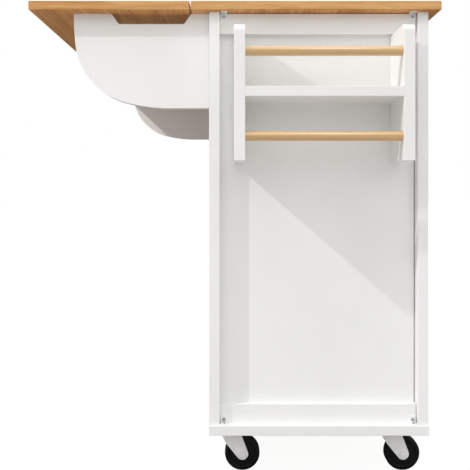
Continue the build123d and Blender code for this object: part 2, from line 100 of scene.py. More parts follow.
def colour(label, text, hex_colour):
    """A colour that a user can change."""
    return FloatVectorProperty(
        name=label, description=text, subtype="COLOR", size=3, min=0, max=1, default=linear(hex_colour)
    )


def length(label, text, millimetres):
    """A length that a user can change."""
    return FloatProperty(name=label, description=text, unit="LENGTH", min=0, default=millimetres * MM)


def position(label, text, metres):
    """A point, or the two ends of a stretch, that a user can move."""
    return FloatVectorProperty(
        name=label, description=text, unit="LENGTH", size=len(metres), default=metres
    )


def power(label, text, watts):
    """A lamp's power that a user can change."""
    return FloatProperty(name=label, description=text, unit="POWER", min=0, default=watts)


def portion(label, text, value):
    """A share of a whole that a user can change."""
    return FloatProperty(name=label, description=text, subtype="FACTOR", min=0, max=1, default=value)


def amount(label, text, value):
    """A plain number that a user can change."""
    return FloatProperty(name=label, description=text, min=0, default=value)


class WoodSettings(bpy.types.PropertyGroup):
    """Colours and grain of the wooden surfaces."""

    veneer_dark: colour("Veneer dark", "Late wood streaks of the worktop veneer", "#BA854B")
    veneer_light: colour("Veneer light", "Early wood streaks of the worktop veneer", "#DEAD76")
    veneer_pore: colour("Veneer pore", "Open pores of the worktop veneer", "#8F5F2C")
    # Painted shade: a darker, warmer tint for the faces that look down, standing in for the shade under
    # the worktop and leaf
    veneer_underside_shade: colour("Veneer back", "Tint of the backing veneer underneath", "#FFF4EB")
    veneer_streak: length("Veneer streak", "Width of one streak of the worktop veneer", 5)
    veneer_run: length("Veneer run", "Length of one streak of the worktop veneer", 150)
    band_start: amount("Band start", "Where in the sheet the edge bands are cut, in streak lengths", 5.3)
    beech_dark: colour("Beech dark", "Darker streaks of the rack's dowels", "#C0965A")
    beech_light: colour("Beech light", "Lighter streaks of the rack's dowels", "#D0AA6E")
    beech_fleck: length("Beech fleck", "Width of one streak of the dowels", 2)
    beech_run: length("Beech run", "Length of one streak of the dowels", 240)
    maple_dark: colour("Maple dark", "Printed streaks of the drawer foil", "#C9B08A")
    maple_light: colour("Maple light", "Ground of the drawer foil", "#DCC8A6")
    maple_streak: length("Maple streak", "Width of one printed streak of the drawer foil", 7)
    maple_run: length("Maple run", "Length of one printed streak of the drawer foil", 220)


class PaintSettings(bpy.types.PropertyGroup):
    """Colours and texture of the painted surfaces."""

    lacquer: colour("Lacquer", "Sprayed lacquer of the cabinet", "#F1F1F0")
    lacquer_thin: colour("Lacquer thin", "Lacquer where the spray lay thinner", "#ECECEA")
    peel: length("Orange peel", "Spacing of the ripples in the sprayed lacquer", 3)
    powder: colour("Powder coat", "Powder coat of the caster forks, axles and corner angles", "#F9F9F8")
    powder_low: colour("Powder coat low", "Pits in the powder coat", "#F3F3F2")
    powder_grain: length("Powder grain", "Spacing of the bumps in the powder coat", 1.2)


class FittingSettings(bpy.types.PropertyGroup):
    """Colours of the metal and plastic fittings, and sizes of the small ones."""

    zinc: colour("Zinc", "Zinc plate of the hinges, slides, strikes, pins and caster plates", "#DCDEE0")
    zinc_dull: colour("Zinc dull", "Duller clouds in the zinc plate", "#C9CCCE")
    zinc_cloud: length("Zinc cloud", "Size of the clouds in the zinc plate", 9)
    nickel: colour("Nickel", "Brushed nickel of the knobs", "#C9C3B8")
    nickel_ring: length("Nickel ring", "Spacing of the lathe rings on the knobs", 0.8)
    screw: colour("Screw", "Dull zinc plate of the screws", "#CDCFD1")
    rubber: colour("Rubber", "Wheels of the casters", "#0E0E0F")
    rubber_ring: length("Rubber ring", "Spacing of the moulding rings on the wheels", 3)
    catch: colour("Catch", "Cases of the door catches", "#8E9194")
    pan_head_radius: length("Pan head radius", "Radius of the pan heads of the screws", 3.4)
    pan_head_height: length("Pan head height", "Height of the pan heads of the screws", 2.2)
    pan_shank_radius: length("Pan shank radius", "Radius of the pan head screws' shanks", 1.8)
    pan_shank_length: length("Pan shank length", "Length of the pan head screws' shanks", 12)
    hinge_screw_radius: length("Hinge screw radius", "Radius of the hinge screw heads", 2.8)
    hinge_screw_proud: length("Hinge screw proud", "How far the hinge screws stand out", 0.3)
    hinge_screw_inset: length("Hinge screw inset", "Hinge screws from the plate's free edge", 6.5)
    hinge_screw_spacing: length("Hinge screw spacing", "Distance between a plate's screws", 32)
    strike_thickness: length("Strike thickness", "Thickness of the doors' strike plates", 0.3)
    bead_radius: length("Bead radius", "Radius of the beads in the doors' fields", 4.5)


class StudioSettings(bpy.types.PropertyGroup):
    """Light, floor and camera."""

    floor: colour("Floor", "Pale studio floor", "#FFFFFE")
    floor_shade: portion("Floor shade", "Share of the floor's brightness that shadows take away", 0.06)
    floor_bounce: colour("Floor bounce", "Light thrown back by the floor", "#6A6662")
    sheet_bounce: colour("Sheet bounce", "Light thrown back by the sheet before the near end", "#B5B3B1")
    sheet_edge: position("Sheet edge", "Where along X the sheet fades out, from and to", (-0.5, -0.15))
    key_power: power("Key power", "Power of the key lamp", 16.8)
    key_radius: length("Key radius", "Radius of the key lamp", 15)
    key_place: position("Key place", "Where the key lamp hangs", (-0.8, 1.2, 1.65))
    strip_power: power("Strip power", "Power of the strip light on the dowels", 2.0)
    strip_length: length("Strip length", "Length of the strip light", 600)
    strip_width: length("Strip width", "Width of the strip light", 250)
    strip_place: position("Strip place", "Where the strip light hangs", (-1.25, -0.35, 1.7))
    front_sky: amount("Front sky", "Strength of the sky behind the camera", 1.6)
    side_sky: amount("Side sky", "Strength of the sky at the leaf's side", 0.4)
    back_sky: amount("Back sky", "Strength of the sky behind the island", 1.3)
    right_sky: amount("Right sky", "Strength of the sky that the doors face", 1.4)
    top_sky: amount("Top sky", "Strength of the sky overhead", 1.8)
    low_share: portion("Low share", "Share of the sky's strength that is left at the horizon", 0.1)
    eye: position("Eye", "Where the camera stands", (-1.578, 0, 0.5452))
    lens: FloatProperty(name="Lens", description="Focal length", unit="CAMERA", min=1, default=50)
    horizon_shift: FloatProperty(
        name="Horizon shift",
        description="Share of the frame that the camera's view is shifted up",
        default=-0.0894,
    )


# Materials


def add_node(tree, kind, inputs=None, **settings):
    """A node with its settings, and a value or a link for each socket that is named."""
    node = tree.nodes.new(kind)
    for name, value in settings.items():
        setattr(node, name, value)
    for socket, source in (inputs or {}).items():
        if isinstance(source, bpy.types.NodeSocket):
            tree.links.new(source, node.inputs[socket])
        else:
            node.inputs[socket].default_value = source
    return node


def start_material(name):
    """The material of that name, and its node tree with nothing in it."""
    material = bpy.data.materials.get(name) or bpy.data.materials.new(name)
    material.use_nodes = True
    material.node_tree.nodes.clear()
    return material, material.node_tree


def rgba(tone):
    """A colour as a socket takes it."""
    return (*tone, 1)


def darkened(tone, share):
    """A colour with only a share of its brightness."""
    return [share * channel for channel in tone]


def grain_space(tree, spot, end_facing, wood):
    """Points of a veneered board, counted in streaks along its grain and across it.

    The grain runs along X, and along Y on the faces at the board's ends, as edge banding does.
    """
    along, across = 1 / wood.veneer_run, 1 / wood.veneer_streak
    sheet = add_node(tree, "ShaderNodeMapping", {"Vector": spot, "Scale": (along, across, across)})
    band = add_node(
        tree,
        "ShaderNodeMapping",
        {"Vector": spot, "Location": (0, wood.band_start, 0), "Scale": (across, along, across)},
    )
    towards_end = add_node(tree, "ShaderNodeMath", {0: end_facing}, operation="ABSOLUTE")
    is_end = add_node(
        tree, "ShaderNodeMath", {0: towards_end.outputs["Value"], 1: FACING}, operation="GREATER_THAN"
    )
    chosen = add_node(
        tree,
        "ShaderNodeMix",
        {
            MIX_FACTOR: is_end.outputs["Value"],
            MIX_VECTORS[0]: sheet.outputs["Vector"],
            MIX_VECTORS[1]: band.outputs["Vector"],
        },
        data_type="VECTOR",
    )
    return chosen.outputs[MIX_VECTOR_RESULT]


def lacquered_oak_veneer(wood):
    """Flat-cut oak veneer under clear satin lacquer.

    The eye sees long honey streaks, a broad slow figure, short dark pores and a soft gloss; faces that
    look down get a darker, warmer tint, which is painted shade.
    """
    streaks_per_figure = 6
    # Real pores are 0.3 mm wide, and four to a streak are four times as coarse so that they show
    pores_per_streak = 4
    material, tree = start_material("lacquered_oak_veneer")
    where = add_node(tree, "ShaderNodeTexCoord")
    facing = add_node(tree, "ShaderNodeSeparateXYZ", {"Vector": where.outputs["Normal"]})
    grain = grain_space(tree, where.outputs["Object"], facing.outputs["X"], wood)
    streaks = add_node(
        tree,
        "ShaderNodeTexNoise",
        {"Vector": grain, "Scale": 1, "Detail": 5, "Roughness": 0.62, "Distortion": 0.35},
    )
    figure = add_node(
        tree,
        "ShaderNodeTexNoise",
        {"Vector": grain, "Scale": 1 / streaks_per_figure, "Detail": 2, "Distortion": 0.8},
    )
    blend = add_node(
        tree,
        "ShaderNodeMix",
        {
            MIX_FACTOR: 0.45,
            MIX_COLOURS[0]: streaks.outputs["Fac"],
            MIX_COLOURS[1]: figure.outputs["Fac"],
        },
        data_type="RGBA",
    )
    spread = add_node(
        tree,
        "ShaderNodeMapRange",
        {"Value": blend.outputs[MIX_COLOUR_RESULT], "From Min": 0.34, "From Max": 0.66},
        interpolation_type="SMOOTHSTEP",
    )
    ground = add_node(
        tree,
        "ShaderNodeMix",
        {
            MIX_FACTOR: spread.outputs["Result"],
            MIX_COLOURS[0]: rgba(wood.veneer_dark),
            MIX_COLOURS[1]: rgba(wood.veneer_light),
        },
        data_type="RGBA",
    )
    pores = add_node(
        tree, "ShaderNodeTexNoise", {"Vector": grain, "Scale": pores_per_streak, "Detail": 1}
    )
    pore_share = add_node(
        tree,
        "ShaderNodeMapRange",
        {"Value": pores.outputs["Fac"], "From Min": 0.6, "From Max": 0.72, "To Max": 0.4},
    )
    pored = add_node(
        tree,
        "ShaderNodeMix",
        {
            MIX_FACTOR: pore_share.outputs["Result"],
            MIX_COLOURS[0]: ground.outputs[MIX_COLOUR_RESULT],
            MIX_COLOURS[1]: rgba(wood.veneer_pore),
        },
        data_type="RGBA",
    )
    # Faces that look down are multiplied by a darker, warmer tint, which is painted shade under the
    # worktop and leaf
    is_under = add_node(
        tree, "ShaderNodeMath", {0: facing.outputs["Z"], 1: -FACING}, operation="LESS_THAN"
    )
    shaded_underside = add_node(
        tree,
        "ShaderNodeMix",
        {
            MIX_FACTOR: is_under.outputs["Value"],
            MIX_COLOURS[0]: pored.outputs[MIX_COLOUR_RESULT],
            MIX_COLOURS[1]: rgba(wood.veneer_underside_shade),
        },
        data_type="RGBA",
        blend_type="MULTIPLY",
    )
    gloss = add_node(
        tree, "ShaderNodeMapRange", {"Value": streaks.outputs["Fac"], "To Min": 0.46, "To Max": 0.36}
    )
    relief = add_node(
        tree,
        "ShaderNodeBump",
        {"Height": streaks.outputs["Fac"], "Strength": 0.25, "Distance": 0.15 * MM},
    )
    shader = add_node(
        tree,
        "ShaderNodeBsdfPrincipled",
        {
            "Base Color": shaded_underside.outputs[MIX_COLOUR_RESULT],
            "Roughness": gloss.outputs["Result"],
            "Normal": relief.outputs["Normal"],
            "IOR": 1.5,
            "Specular IOR Level": 0.1,
        },
    )
    add_node(tree, "ShaderNodeOutputMaterial", {"Surface": shader.outputs["BSDF"]})
    return material


def turned_beech(wood):
    """Beech, turned to a bar and sealed: pale straw with fine streaks and flecks along the bar."""
    material, tree = start_material("turned_beech")
    where = add_node(tree, "ShaderNodeTexCoord")
    along, across = 1 / wood.beech_run, 1 / wood.beech_fleck
    grain = add_node(
        tree,
        "ShaderNodeMapping",
        {"Vector": where.outputs["Object"], "Scale": (across, along, across)},
    )
    streaks = add_node(
        tree,
        "ShaderNodeTexNoise",
        {"Vector": grain.outputs["Vector"], "Scale": 1, "Detail": 4, "Roughness": 0.55},
    )
    spread = add_node(
        tree, "ShaderNodeMapRange", {"Value": streaks.outputs["Fac"], "From Min": 0.35, "From Max": 0.65}
    )
    ground = add_node(
        tree,
        "ShaderNodeMix",
        {
            MIX_FACTOR: spread.outputs["Result"],
            MIX_COLOURS[0]: rgba(wood.beech_dark),
            MIX_COLOURS[1]: rgba(wood.beech_light),
        },
        data_type="RGBA",
    )
    gloss = add_node(
        tree, "ShaderNodeMapRange", {"Value": streaks.outputs["Fac"], "To Min": 0.48, "To Max": 0.38}
    )
    relief = add_node(
        tree,
        "ShaderNodeBump",
        {"Height": streaks.outputs["Fac"], "Strength": 0.2, "Distance": 0.1 * MM},
    )
    shader = add_node(
        tree,
        "ShaderNodeBsdfPrincipled",
        {
            "Base Color": ground.outputs[MIX_COLOUR_RESULT],
            "Roughness": gloss.outputs["Result"],
            "Normal": relief.outputs["Normal"],
            "IOR": 1.5,
            "Coat Weight": 1,
            "Coat Roughness": 0.2,
            "Coat IOR": 1.8,
        },
    )
    add_node(tree, "ShaderNodeOutputMaterial", {"Surface": shader.outputs["BSDF"]})
    return material


def maple_foil(wood):
    """Paper foil printed as maple on fibreboard: an even pale ground with faint wide streaks."""
    material, tree = start_material("maple_foil")
    where = add_node(tree, "ShaderNodeTexCoord")
    along, across = 1 / wood.maple_run, 1 / wood.maple_streak
    grain = add_node(
        tree,
        "ShaderNodeMapping",
        {"Vector": where.outputs["Object"], "Scale": (across, along, across)},
    )
    streaks = add_node(
        tree,
        "ShaderNodeTexNoise",
        {"Vector": grain.outputs["Vector"], "Scale": 1, "Detail": 3, "Distortion": 0.3},
    )
    ground = add_node(
        tree,
        "ShaderNodeMix",
        {
            MIX_FACTOR: streaks.outputs["Fac"],
            MIX_COLOURS[0]: rgba(wood.maple_dark),
            MIX_COLOURS[1]: rgba(wood.maple_light),
        },
        data_type="RGBA",
    )
    gloss = add_node(
        tree, "ShaderNodeMapRange", {"Value": streaks.outputs["Fac"], "To Min": 0.6, "To Max": 0.5}
    )
    shader = add_node(
        tree,
        "ShaderNodeBsdfPrincipled",
        {
            "Base Color": ground.outputs[MIX_COLOUR_RESULT],
            "Roughness": gloss.outputs["Result"],
            "IOR": 1.5,
        },
    )
    add_node(tree, "ShaderNodeOutputMaterial", {"Surface": shader.outputs["BSDF"]})
    return material


def mottled(name, tones, cloud, ripple, gloss_range, relief_height, metallic=0):
    """A coated surface with two close tones in clouds, and ripples that break up its gloss."""
    material, tree = start_material(name)
    where = add_node(tree, "ShaderNodeTexCoord")
    spot = where.outputs["Object"]
    clouds = add_node(tree, "ShaderNodeTexNoise", {"Vector": spot, "Scale": 1 / cloud, "Detail": 3})
    ripples = add_node(tree, "ShaderNodeTexNoise", {"Vector": spot, "Scale": 1 / ripple, "Detail": 1.5})
    spread = add_node(
        tree, "ShaderNodeMapRange", {"Value": clouds.outputs["Fac"], "From Min": 0.35, "From Max": 0.65}
    )
    ground = add_node(
        tree,
        "ShaderNodeMix",
        {
            MIX_FACTOR: spread.outputs["Result"],
            MIX_COLOURS[0]: rgba(tones[0]),
            MIX_COLOURS[1]: rgba(tones[1]),
        },
        data_type="RGBA",
    )
    gloss = add_node(
        tree,
        "ShaderNodeMapRange",
        {"Value": clouds.outputs["Fac"], "To Min": gloss_range[0], "To Max": gloss_range[1]},
    )
    relief = add_node(
        tree,
        "ShaderNodeBump",
        {"Height": ripples.outputs["Fac"], "Strength": 0.3, "Distance": relief_height},
    )
    shader = add_node(
        tree,
        "ShaderNodeBsdfPrincipled",
        {
            "Base Color": ground.outputs[MIX_COLOUR_RESULT],
            "Roughness": gloss.outputs["Result"],
            "Normal": relief.outputs["Normal"],
            "Metallic": metallic,
        },
    )
    add_node(tree, "ShaderNodeOutputMaterial", {"Surface": shader.outputs["BSDF"]})
    return material


def ringed(name, tone, ring, diameter, axis, gloss_range, relief_height, metallic=0, specular=0.5):
    """A round piece with fine rings about its axis, as a lathe or a turned mould leaves them."""
    smudge_size = 12 * MM
    material, tree = start_material(name)
    where = add_node(tree, "ShaderNodeTexCoord")
    # Generated coordinates run from 0 to 1 over the piece, and here become distances from its axis
    scale = [0 if way == axis else diameter for way in "XYZ"]
    offset = add_node(
        tree,
        "ShaderNodeMapping",
        {
            "Vector": where.outputs["Generated"],
            "Location": [-size / 2 for size in scale],
            "Scale": scale,
        },
    )
    reach = add_node(tree, "ShaderNodeVectorMath", {0: offset.outputs["Vector"]}, operation="LENGTH")
    turns = add_node(
        tree, "ShaderNodeMath", {0: reach.outputs["Value"], 1: math.tau / ring}, operation="MULTIPLY"
    )
    rings = add_node(tree, "ShaderNodeMath", {0: turns.outputs["Value"]}, operation="SINE")
    smudges = add_node(
        tree,
        "ShaderNodeTexNoise",
        {"Vector": where.outputs["Object"], "Scale": 1 / smudge_size, "Detail": 2},
    )
    gloss = add_node(
        tree,
        "ShaderNodeMapRange",
        {"Value": smudges.outputs["Fac"], "To Min": gloss_range[0], "To Max": gloss_range[1]},
    )
    relief = add_node(
        tree,
        "ShaderNodeBump",
        {"Height": rings.outputs["Value"], "Strength": 0.3, "Distance": relief_height},
    )
    shader = add_node(
        tree,
        "ShaderNodeBsdfPrincipled",
        {
            "Base Color": rgba(tone),
            "Roughness": gloss.outputs["Result"],
            "Normal": relief.outputs["Normal"],
            "Metallic": metallic,
            "Specular IOR Level": specular,
        },
    )
    add_node(tree, "ShaderNodeOutputMaterial", {"Surface": shader.outputs["BSDF"]})
    return material


def sprayed_lacquer():
    """Satin lacquer sprayed on fibreboard: an even white whose gloss has a faint orange peel."""
    paint = bpy.context.scene.island_paint
    return mottled(
        "sprayed_satin_lacquer",
        tones=(paint.lacquer_thin, paint.lacquer),
        cloud=220 * MM,
        ripple=paint.peel,
        gloss_range=(0.46, 0.36),
        relief_height=0.03 * MM,
    )


def powder_coat():
    """Pressed steel under powder coat: white with a fine pebbled gloss."""
    paint = bpy.context.scene.island_paint
    return mottled(
        "powder_coated_steel",
        tones=(paint.powder_low, paint.powder),
        cloud=14 * MM,
        ripple=paint.powder_grain,
        gloss_range=(0.42, 0.32),
        relief_height=0.06 * MM,
    )


def zinc_plate():
    """Steel sheet with bright zinc plate: cool grey with soft cloudy patches."""
    fitting = bpy.context.scene.island_fitting
    return mottled(
        "zinc_plated_steel",
        tones=(fitting.zinc_dull, fitting.zinc),
        cloud=fitting.zinc_cloud,
        ripple=1.5 * MM,
        gloss_range=(0.42, 0.28),
        relief_height=0.02 * MM,
        metallic=1,
    )


def screw_plate():
    """Steel with dull zinc plate, as on screws: greyer and rougher than the hinges."""
    fitting = bpy.context.scene.island_fitting
    return mottled(
        "dull_zinc_steel",
        tones=(darkened(fitting.screw, 0.8), fitting.screw),
        cloud=4 * MM,
        ripple=1 * MM,
        gloss_range=(0.5, 0.36),
        relief_height=0.02 * MM,
        metallic=1,
    )


def moulded_abs():
    """Grey ABS from an etched mould: even and matte, with a fine texture."""
    fitting = bpy.context.scene.island_fitting
    return mottled(
        "moulded_grey_abs",
        tones=(darkened(fitting.catch, 0.94), fitting.catch),
        cloud=8 * MM,
        ripple=0.8 * MM,
        gloss_range=(0.6, 0.5),
        relief_height=0.05 * MM,
    )


def brushed_nickel(diameter):
    """Nickel brushed on a lathe: warm grey with fine rings that draw its highlights out."""
    fitting = bpy.context.scene.island_fitting
    return ringed(
        "brushed_nickel",
        fitting.nickel,
        ring=fitting.nickel_ring,
        diameter=diameter,
        axis="Y",
        gloss_range=(0.34, 0.24),
        relief_height=0.03 * MM,
        metallic=1,
    )


def moulded_rubber(diameter):
    """Hard black rubber from a turned mould: near black, satin, with rings about the hub."""
    fitting = bpy.context.scene.island_fitting
    return ringed(
        "moulded_black_rubber",
        fitting.rubber,
        ring=fitting.rubber_ring,
        diameter=diameter,
        axis="X",
        gloss_range=(0.5, 0.36),
        relief_height=0.12 * MM,
        specular=0.15,
    )


def finish_nodes(material, names):
    """Gives CAD nodes a finish."""
    for name in names:
        slots = nodes[name].data.materials
        slots.clear()
        slots.append(material)


# Mesh helpers


def add_object(name, data):
    """A new object in the scene."""
    made = bpy.data.objects.new(name, data)
    bpy.context.scene.collection.objects.link(made)
    return made


def add_mesh(name, mesh, material):
    """A finished bmesh as a new object."""
    data = bpy.data.meshes.new(name)
    mesh.to_mesh(data)
    mesh.free()
    data.materials.append(material)
    return add_object(name, data)


def add_piece(name, mesh, material, body):
    """A finished bmesh as a piece that rides on a body."""
    bmesh.ops.recalc_face_normals(mesh, faces=mesh.faces)
    piece = add_mesh(name, mesh, material)
    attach(piece, body)
    return piece


def solids_of(node):
    """The corners of each separate solid of a CAD node, in a fixed order."""
    weld = 0.001 * MM
    mesh = bmesh.new()
    mesh.from_mesh(nodes[node].data)
    bmesh.ops.remove_doubles(mesh, verts=mesh.verts, dist=weld)
    waiting = set(mesh.verts)
    solids = []
    for first in mesh.verts:
        if first not in waiting:
            continue
        waiting.discard(first)
        reached = [first]
        corners = []
        while reached:
            vert = reached.pop()
            corners.append(vert.co.copy())
            for edge in vert.link_edges:
                other = edge.other_vert(vert)
                if other in waiting:
                    waiting.discard(other)
                    reached.append(other)
        solids.append(corners)
    mesh.free()
    return solids


def box_of(corners):
    """The lowest and highest corner round some points."""
    low = Vector([min(corner[axis] for corner in corners) for axis in range(3)])
    high = Vector([max(corner[axis] for corner in corners) for axis in range(3)])
    return low, high


def add_screw(mesh, seat, outward, turn, profile, cross_reach, cross_depth):
    """A turned screw with a cross recess in the flat of its head.

    The profile holds radius and height pairs from the tip on the axis to the flat's rim.
    """
    segments = 24
    cross_half_width = 0.28 * cross_reach
    cross_floor_share = 0.7
    tip = mesh.verts.new((0, 0, profile[0][1]))
    angles = [math.tau * step / segments for step in range(segments)]
    rings = []
    for radius, height in profile[1:]:
        spots = [(radius * math.cos(angle), radius * math.sin(angle), height) for angle in angles]
        rings.append([mesh.verts.new(spot) for spot in spots])
    for step in range(segments):
        after = (step + 1) % segments
        mesh.faces.new((tip, rings[0][after], rings[0][step]))
        for lower, upper in zip(rings, rings[1:]):
            mesh.faces.new((lower[step], lower[after], upper[after], upper[step]))
    arm = [
        (cross_reach, -cross_half_width),
        (cross_reach, cross_half_width),
        (cross_half_width, cross_half_width),
    ]
    outline = []
    for quarter in range(4):
        spin = Matrix.Rotation(quarter * math.tau / 4, 2)
        outline += [spin @ Vector(corner) for corner in arm]
    flat = rings[-1]
    top = profile[-1][1]
    rim = [mesh.verts.new((*corner, top)) for corner in outline]
    floor = [mesh.verts.new((*(corner * cross_floor_share), top - cross_depth)) for corner in outline]
    count = len(outline)
    edges = [mesh.edges.new((rim[step], rim[(step + 1) % count])) for step in range(count)]
    edges += [mesh.edges.get((flat[step], flat[(step + 1) % segments])) for step in range(segments)]
    bmesh.ops.triangle_fill(mesh, use_beauty=True, edges=edges)
    for step in range(count):
        after = (step + 1) % count
        mesh.faces.new((rim[step], rim[after], floor[after], floor[step]))
    mesh.faces.new(floor)
    made = [tip, *rim, *floor, *[vert for ring in rings for vert in ring]]
    aim = outward.to_track_quat("Z", "Y").to_matrix().to_4x4()
    matrix = Matrix.Translation(seat) @ aim @ Matrix.Rotation(turn, 4, "Z")
    bmesh.ops.transform(mesh, matrix=matrix, verts=made)


def add_plate(mesh, low, high, corner):
    """A thin plate across Y with rounded corners."""
    corner_steps = 4
    outline = []
    for x, z, quarter in (
        (high.x - corner, high.z - corner, 0),
        (low.x + corner, high.z - corner, 1),
        (low.x + corner, low.z + corner, 2),
        (high.x - corner, low.z + corner, 3),
    ):
        for step in range(corner_steps + 1):
            angle = (quarter + step / corner_steps) * math.tau / 4
            outline.append((x + corner * math.cos(angle), z + corner * math.sin(angle)))
    front = [mesh.verts.new((x, low.y, z)) for x, z in outline]
    back = [mesh.verts.new((x, high.y, z)) for x, z in outline]
    mesh.faces.new(front)
    mesh.faces.new(back[::-1])
    for step in range(len(outline)):
        after = (step + 1) % len(outline)
        mesh.faces.new((front[step], front[after], back[after], back[step]))


# Pieces


class ISLAND_OT_worktop(bpy.types.Operator):
    """Veneers the worktop and the drop leaf"""

    bl_idname = "island.worktop"
    bl_label = "Worktop and leaf"

    def execute(self, context):
        finish_nodes(lacquered_oak_veneer(context.scene.island_wood), ["worktop", "drop_leaf"])
        return {"FINISHED"}


class ISLAND_OT_cabinet(bpy.types.Operator):
    """Lacquers the cabinet's boards, and plates the pins under its shelf"""

    bl_idname = "island.cabinet"
    bl_label = "Cabinet"

    def execute(self, context):
        boards = ["base_board", "end_rails", "back_panel", "front_top_rail"]
        boards += ["drawer_deck", "drawer_divider", "inner_shelf"]
        boards += [f"{end}_{board}" for end in ENDS for board in ("back_post", "front_post", "end_panel")]
        finish_nodes(sprayed_lacquer(), boards)
        finish_nodes(zinc_plate(), ["shelf_pins"])
        return {"FINISHED"}


class ISLAND_OT_rack(bpy.types.Operator):
    """Lacquers the end rack's boards and seals its dowels"""

    bl_idname = "island.rack"
    bl_label = "End rack"

    def execute(self, context):
        finish_nodes(sprayed_lacquer(), ["rack_side_plates", "rack_shelf"])
        finish_nodes(turned_beech(context.scene.island_wood), ["rack_dowels"])
        return {"FINISHED"}


class ISLAND_OT_brackets(bpy.types.Operator):
    """Lacquers the brackets under the leaf"""

    bl_idname = "island.brackets"
    bl_label = "Leaf brackets"

    def execute(self, context):
        finish_nodes(sprayed_lacquer(), [f"{end}_bracket" for end in ENDS])
        return {"FINISHED"}


class ISLAND_OT_drawers(bpy.types.Operator):
    """Finishes the drawers, their slides and their knobs"""

    bl_idname = "island.drawers"
    bl_label = "Drawers"

    def execute(self, context):
        low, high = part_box("near_drawer_knob")
        boxes = [f"{end}_drawer_{board}" for end in ENDS for board in ("wrap", "bottom")]
        finish_nodes(sprayed_lacquer(), [f"{end}_drawer_front" for end in ENDS])
        finish_nodes(maple_foil(context.scene.island_wood), boxes)
        finish_nodes(zinc_plate(), ["runner_channels"] + [f"{end}_drawer_slides" for end in ENDS])
        finish_nodes(brushed_nickel(high.x - low.x), [f"{end}_drawer_knob" for end in ENDS])
        return {"FINISHED"}


class ISLAND_OT_doors(bpy.types.Operator):
    """Finishes the doors, with a bead round each field and a strike plate for each catch"""

    bl_idname = "island.doors"
    bl_label = "Doors"

    def execute(self, context):
        fitting = context.scene.island_fitting
        low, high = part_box("near_door_knob")
        finish_nodes(sprayed_lacquer(), [f"{end}_door" for end in ENDS])
        finish_nodes(brushed_nickel(high.x - low.x), [f"{end}_door_knob" for end in ENDS])
        finish_nodes(moulded_abs(), ["magnetic_catches"])
        for end in ENDS:
            self.add_bead(f"{end}_door", fitting.bead_radius)
        for corners in solids_of("magnetic_catches"):
            self.add_strike(box_of(corners), fitting.strike_thickness)
        return {"FINISHED"}

    def add_bead(self, door, radius):
        """A quarter-round bead in the corner between a door's frame and its field."""
        arc_steps = 6
        low, high = box_of(self.field_of(door))
        profile = [(0, 0)]
        for step in range(arc_steps + 1):
            angle = step / arc_steps * math.tau / 4
            profile.append((radius * math.cos(angle), radius * math.sin(angle)))
        mesh = bmesh.new()
        loops = []
        for inset, rise in profile:
            left, right = low.x + inset, high.x - inset
            bottom, top = low.z + inset, high.z - inset
            corners = ((left, bottom), (right, bottom), (right, top), (left, top))
            loops.append([mesh.verts.new((x, high.y - rise, z)) for x, z in corners])
        for first, second in zip(loops, loops[1:] + loops[:1]):
            for step in range(4):
                after = (step + 1) % 4
                mesh.faces.new((first[step], first[after], second[after], second[step]))
        add_piece(f"{door}_bead", mesh, sprayed_lacquer(), door)

    def field_of(self, door):
        """The corners of a door's recessed field, which lie behind its face and inside its frame."""
        face_margin, back_margin, side_margin = 1 * MM, 5 * MM, 20 * MM
        low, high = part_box(door)
        corners = [vert.co for vert in nodes[door].data.vertices]
        deep = [corner for corner in corners if low.y + face_margin < corner.y < high.y - back_margin]
        return [corner for corner in deep if low.x + side_margin < corner.x < high.x - side_margin]

    def add_strike(self, catch, thickness):
        """A strike plate on the back of the door that a catch holds."""
        inset, gap = 2 * MM, 1 * MM
        low, high = catch
        end = "near" if low.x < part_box("drawer_divider")[0].x else "far"
        _, door_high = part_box(f"{end}_door")
        plate_low = Vector((low.x + inset, door_high.y, low.z + gap))
        plate_high = Vector((high.x - inset, door_high.y + thickness, door_high.z - gap))
        mesh = bmesh.new()
        add_plate(mesh, plate_low, plate_high, corner=inset)
        add_piece(f"{end}_strike_plate", mesh, zinc_plate(), f"{end}_door")


